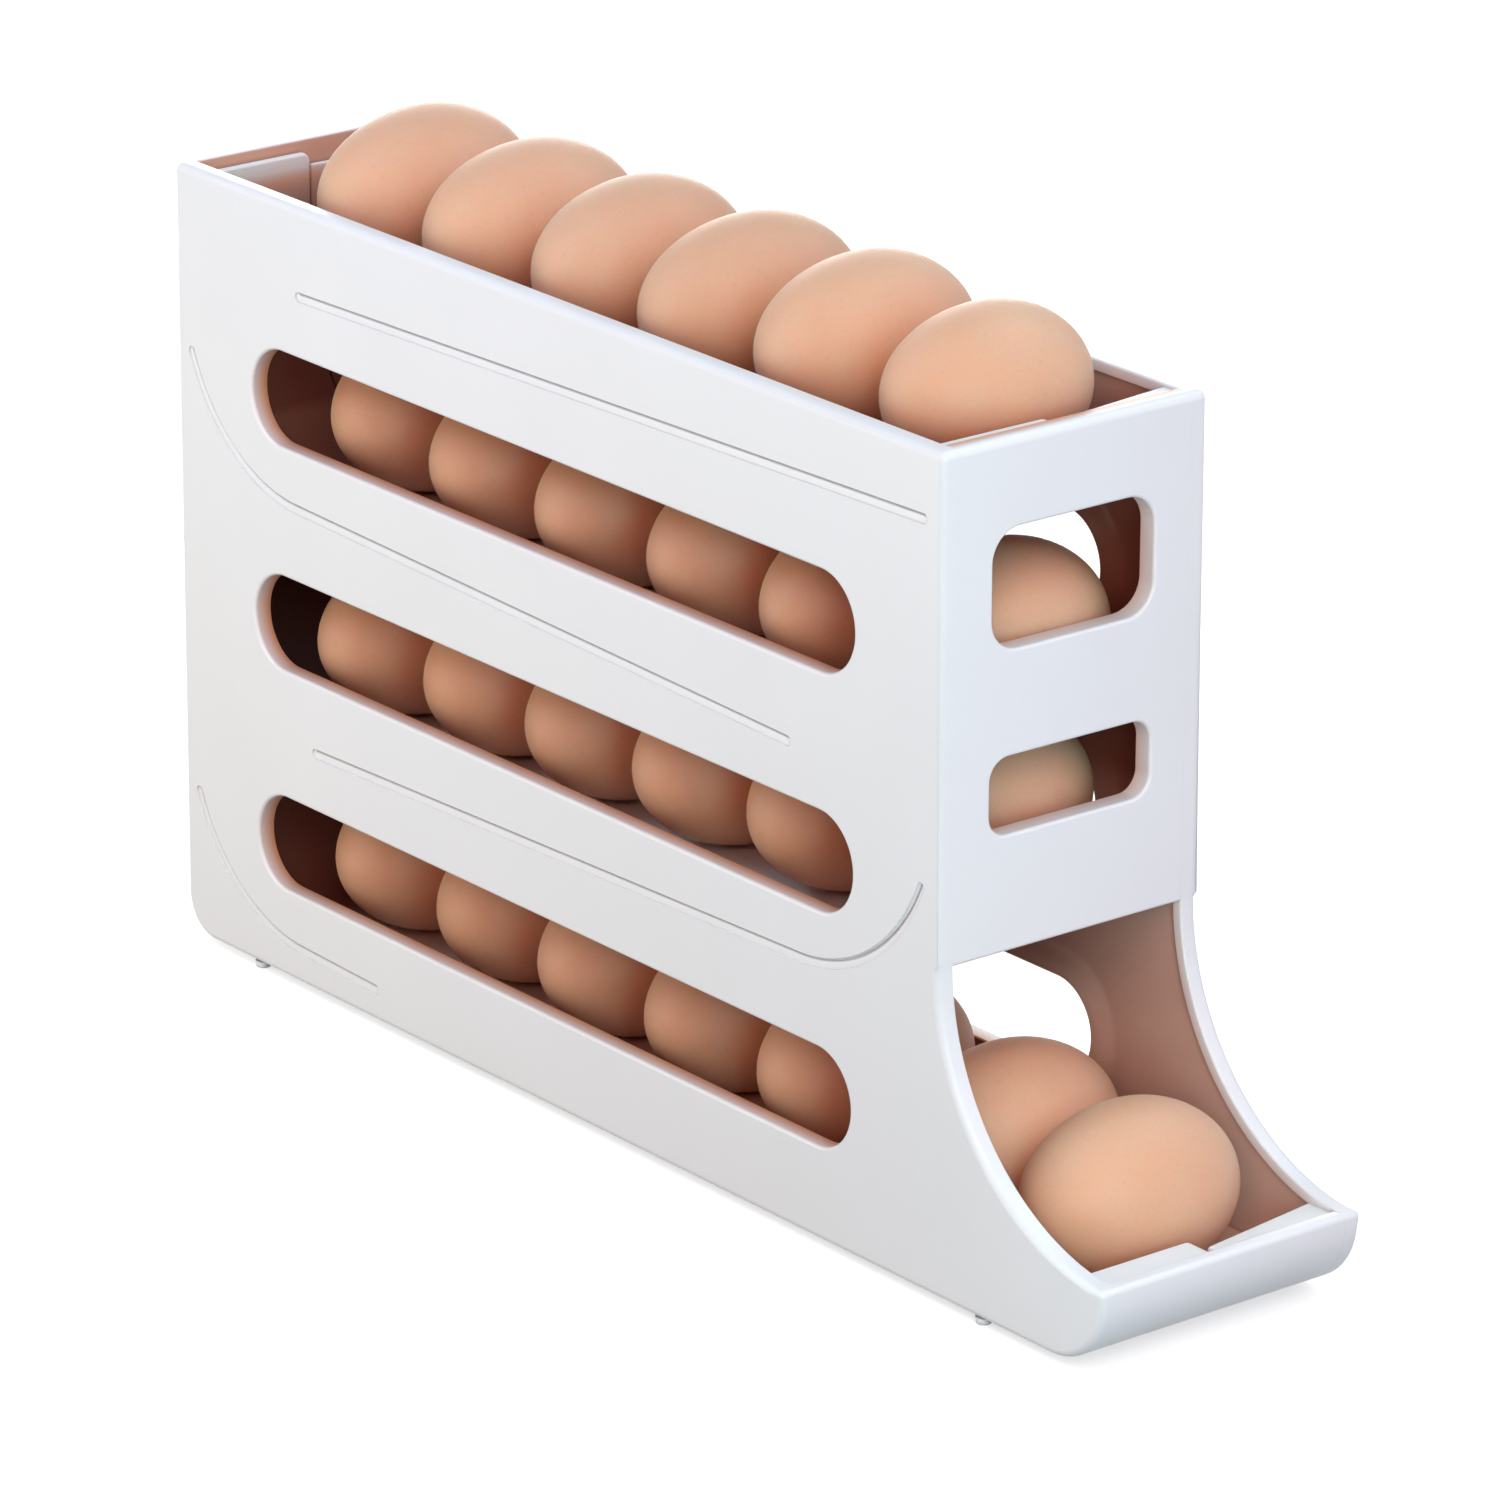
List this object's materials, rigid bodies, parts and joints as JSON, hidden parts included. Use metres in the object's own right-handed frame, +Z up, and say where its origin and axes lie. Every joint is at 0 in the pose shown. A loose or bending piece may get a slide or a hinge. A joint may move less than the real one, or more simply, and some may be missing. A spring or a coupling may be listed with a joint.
{
  "type": "rolling_egg_dispenser",
  "caption": "Narrow free-standing egg dispenser: open-topped white casing with long side windows, sloping zig-zag tracks inside and a scooped front mouth where the next egg rolls to rest.",
  "frame": {"origin": "on the surface that the feet stand on, under the middle of the overall length and width", "axes": "+Z up, +Y towards the back wall (the mouth and its lip face -Y), +X to the right when looking at the back from the mouth"},
  "size_m": [0.08, 0.3656, 0.2326],
  "materials": {
    "casing": "satin white moulded plastic",
    "track": "smooth white moulded plastic",
    "foot_pad": "matt pale grey",
    "eggshell": "matt tan shell with fine pores"
  },
  "bodies": {
    "casing": {"left_side_panel": "casing", "right_side_panel": "casing", "front_panel": "casing", "back_panel": "casing", "lip_panel": "casing", "tier_1_left_track": "track", "tier_1_right_track": "track", "tier_2_left_track": "track", "tier_2_right_track": "track", "tier_3_left_track": "track", "tier_3_right_track": "track", "tier_4_left_track": "track", "tier_4_right_track": "track", "foot_front_left": "foot_pad", "foot_front_right": "foot_pad", "foot_back_left": "foot_pad", "foot_back_right": "foot_pad"},
    "top_egg_1": {"tier_1_egg_1": "eggshell"},
    "top_egg_2": {"tier_1_egg_2": "eggshell"},
    "top_egg_3": {"tier_1_egg_3": "eggshell"},
    "top_egg_4": {"tier_1_egg_4": "eggshell"},
    "top_egg_5": {"tier_1_egg_5": "eggshell"},
    "top_egg_6": {"tier_1_egg_6": "eggshell"},
    "second_row_egg_1": {"tier_2_egg_1": "eggshell"},
    "second_row_egg_2": {"tier_2_egg_2": "eggshell"},
    "second_row_egg_3": {"tier_2_egg_3": "eggshell"},
    "second_row_egg_4": {"tier_2_egg_4": "eggshell"},
    "second_row_egg_5": {"tier_2_egg_5": "eggshell"},
    "second_row_egg_6": {"tier_2_egg_6": "eggshell"},
    "third_row_egg_1": {"tier_3_egg_1": "eggshell"},
    "third_row_egg_2": {"tier_3_egg_2": "eggshell"},
    "third_row_egg_3": {"tier_3_egg_3": "eggshell"},
    "third_row_egg_4": {"tier_3_egg_4": "eggshell"},
    "third_row_egg_5": {"tier_3_egg_5": "eggshell"},
    "third_row_egg_6": {"tier_3_egg_6": "eggshell"},
    "mouth_egg": {"tier_4_egg_1": "eggshell"},
    "next_egg": {"tier_4_egg_2": "eggshell"},
    "lowest_row_egg_3": {"tier_4_egg_3": "eggshell"},
    "lowest_row_egg_4": {"tier_4_egg_4": "eggshell"},
    "lowest_row_egg_5": {"tier_4_egg_5": "eggshell"},
    "lowest_row_egg_6": {"tier_4_egg_6": "eggshell"},
    "lowest_row_egg_7": {"tier_4_egg_7": "eggshell"}
  },
  "joints": [
    {"name": "top_egg_1_lift", "type": "slide", "parent": "casing", "child": "top_egg_1", "axis": [0, 0, 1], "range_m": [0, 0.06]},
    {"name": "top_egg_2_lift", "type": "slide", "parent": "casing", "child": "top_egg_2", "axis": [0, 0, 1], "range_m": [0, 0.06]},
    {"name": "top_egg_3_lift", "type": "slide", "parent": "casing", "child": "top_egg_3", "axis": [0, 0, 1], "range_m": [0, 0.06]},
    {"name": "top_egg_4_lift", "type": "slide", "parent": "casing", "child": "top_egg_4", "axis": [0, 0, 1], "range_m": [0, 0.06]},
    {"name": "top_egg_5_lift", "type": "slide", "parent": "casing", "child": "top_egg_5", "axis": [0, 0, 1], "range_m": [0, 0.06]},
    {"name": "top_egg_6_lift", "type": "slide", "parent": "casing", "child": "top_egg_6", "axis": [0, 0, 1], "range_m": [0, 0.06]},
    {"name": "second_row_roll_1", "type": "hinge", "parent": "casing", "child": "second_row_egg_1", "pos_m": [0.0025, -0.09445, 0.1518], "axis": [1, 0, 0], "continuous": true},
    {"name": "second_row_roll_2", "type": "hinge", "parent": "casing", "child": "second_row_egg_2", "pos_m": [0.0025, -0.04805, 0.14773], "axis": [1, 0, 0], "continuous": true},
    {"name": "second_row_roll_3", "type": "hinge", "parent": "casing", "child": "second_row_egg_3", "pos_m": [0.0025, -0.00435, 0.1486], "axis": [1, 0, 0], "continuous": true},
    {"name": "second_row_roll_4", "type": "hinge", "parent": "casing", "child": "second_row_egg_4", "pos_m": [0.0025, 0.03935, 0.14948], "axis": [1, 0, 0], "continuous": true},
    {"name": "second_row_roll_5", "type": "hinge", "parent": "casing", "child": "second_row_egg_5", "pos_m": [0.0025, 0.08305, 0.15035], "axis": [1, 0, 0], "continuous": true},
    {"name": "second_row_roll_6", "type": "hinge", "parent": "casing", "child": "second_row_egg_6", "pos_m": [0.0025, 0.12675, 0.15123], "axis": [1, 0, 0], "continuous": true},
    {"name": "third_row_roll_1", "type": "hinge", "parent": "casing", "child": "third_row_egg_1", "pos_m": [0.0025, -0.08875, 0.10848], "axis": [-1, 0, 0], "continuous": true},
    {"name": "third_row_roll_2", "type": "hinge", "parent": "casing", "child": "third_row_egg_2", "pos_m": [0.0025, -0.04255, 0.09384], "axis": [-1, 0, 0], "continuous": true},
    {"name": "third_row_roll_3", "type": "hinge", "parent": "casing", "child": "third_row_egg_3", "pos_m": [0.0025, 0.00115, 0.09285], "axis": [-1, 0, 0], "continuous": true},
    {"name": "third_row_roll_4", "type": "hinge", "parent": "casing", "child": "third_row_egg_4", "pos_m": [0.0025, 0.04485, 0.09186], "axis": [-1, 0, 0], "continuous": true},
    {"name": "third_row_roll_5", "type": "hinge", "parent": "casing", "child": "third_row_egg_5", "pos_m": [0.0025, 0.08855, 0.09087], "axis": [-1, 0, 0], "continuous": true},
    {"name": "third_row_roll_6", "type": "hinge", "parent": "casing", "child": "third_row_egg_6", "pos_m": [0.0025, 0.13225, 0.08988], "axis": [-1, 0, 0], "continuous": true},
    {"name": "mouth_egg_lift", "type": "slide", "parent": "casing", "child": "mouth_egg", "axis": [0, -0.5, 0.866], "range_m": [0, 0.12]},
    {"name": "lowest_row_advance", "type": "slide", "parent": "casing", "child": "next_egg", "axis": [0, -0.9998, -0.021], "range_m": [0, 0.04375]},
    {"name": "lowest_row_roll_3", "type": "hinge", "parent": "next_egg", "child": "lowest_row_egg_3", "pos_m": [0.0025, -0.04735, 0.02826], "axis": [1, 0, 0], "range_deg": [0, 116]},
    {"name": "lowest_row_roll_4", "type": "hinge", "parent": "next_egg", "child": "lowest_row_egg_4", "pos_m": [0.0025, -0.00365, 0.02918], "axis": [1, 0, 0], "range_deg": [0, 116]},
    {"name": "lowest_row_roll_5", "type": "hinge", "parent": "next_egg", "child": "lowest_row_egg_5", "pos_m": [0.0025, 0.04005, 0.03009], "axis": [1, 0, 0], "range_deg": [0, 116]},
    {"name": "lowest_row_roll_6", "type": "hinge", "parent": "next_egg", "child": "lowest_row_egg_6", "pos_m": [0.0025, 0.08375, 0.03101], "axis": [1, 0, 0], "range_deg": [0, 116]},
    {"name": "lowest_row_roll_7", "type": "hinge", "parent": "next_egg", "child": "lowest_row_egg_7", "pos_m": [0.0025, 0.12745, 0.03193], "axis": [1, 0, 0], "range_deg": [0, 116]}
  ],
  "couplings": [
    {"joint": "second_row_roll_2", "follows": "second_row_roll_1", "ratio": 1},
    {"joint": "second_row_roll_3", "follows": "second_row_roll_1", "ratio": 1},
    {"joint": "second_row_roll_4", "follows": "second_row_roll_1", "ratio": 1},
    {"joint": "second_row_roll_5", "follows": "second_row_roll_1", "ratio": 1},
    {"joint": "second_row_roll_6", "follows": "second_row_roll_1", "ratio": 1},
    {"joint": "third_row_roll_2", "follows": "third_row_roll_1", "ratio": 1},
    {"joint": "third_row_roll_3", "follows": "third_row_roll_1", "ratio": 1},
    {"joint": "third_row_roll_4", "follows": "third_row_roll_1", "ratio": 1},
    {"joint": "third_row_roll_5", "follows": "third_row_roll_1", "ratio": 1},
    {"joint": "third_row_roll_6", "follows": "third_row_roll_1", "ratio": 1},
    {"joint": "lowest_row_advance", "follows": "mouth_egg_lift", "ratio": 0.3642},
    {"joint": "lowest_row_roll_3", "follows": "mouth_egg_lift", "rad_per_m": 16.78},
    {"joint": "lowest_row_roll_4", "follows": "mouth_egg_lift", "rad_per_m": 16.78},
    {"joint": "lowest_row_roll_5", "follows": "mouth_egg_lift", "rad_per_m": 16.78},
    {"joint": "lowest_row_roll_6", "follows": "mouth_egg_lift", "rad_per_m": 16.78},
    {"joint": "lowest_row_roll_7", "follows": "mouth_egg_lift", "rad_per_m": 16.78}
  ]
}
